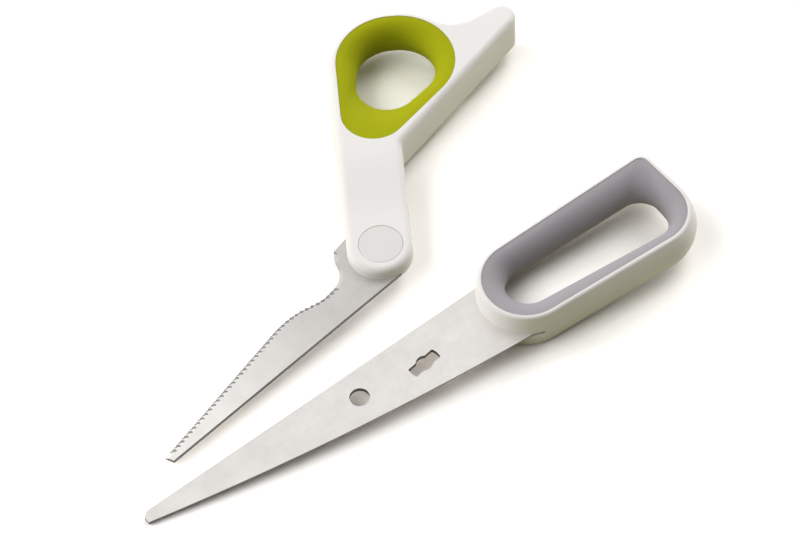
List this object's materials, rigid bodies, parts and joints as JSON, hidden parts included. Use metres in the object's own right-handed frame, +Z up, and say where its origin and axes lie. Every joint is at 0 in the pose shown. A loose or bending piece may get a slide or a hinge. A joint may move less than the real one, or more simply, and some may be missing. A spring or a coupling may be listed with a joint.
{
  "type": "take-apart kitchen shears",
  "caption": "Two-piece kitchen shears lying apart: a plain blade on a tall finger loop and a serrated, notched blade on a bent arm with thumb ring and horn, joined by a T-headed stud.",
  "frame": {"origin": "middle of the bounding box of the two halves as they lie, on the floor", "axes": "+X along the finger half from blade tip to loop, +Y across toward the thumb half, +Z up from the table"},
  "size_m": [0.252, 0.1692, 0.024],
  "materials": {
    "blade_steel": "satin",
    "stud_steel": "satin",
    "white_shell": "semi-gloss",
    "grey_grip": "matt",
    "green_grip": "matt",
    "washer_plastic": "matt"
  },
  "bodies": {
    "finger_half": {"finger_blade": "blade_steel", "finger_handle": "white_shell", "finger_grip": "grey_grip"},
    "pivot_carrier": {"pivot_cap": "white_shell", "pivot_washer": "washer_plastic"},
    "thumb_half": {"thumb_blade": "blade_steel", "thumb_handle": "white_shell", "thumb_grip": "green_grip", "pivot_stud": "stud_steel"}
  },
  "joints": [
    {"name": "bring_over", "type": "slide", "parent": "finger_half", "child": "pivot_carrier", "axis": [-0.3319, -0.9366, 0.112], "range_m": [0, 0.05338]},
    {"name": "blade_pivot", "type": "hinge", "parent": "pivot_carrier", "child": "thumb_half", "pos_m": [0.01123, -0.01099, 0.00896], "axis": [0.0496, 0, -0.9988], "range_deg": [-74.5, 15.5]}
  ]
}
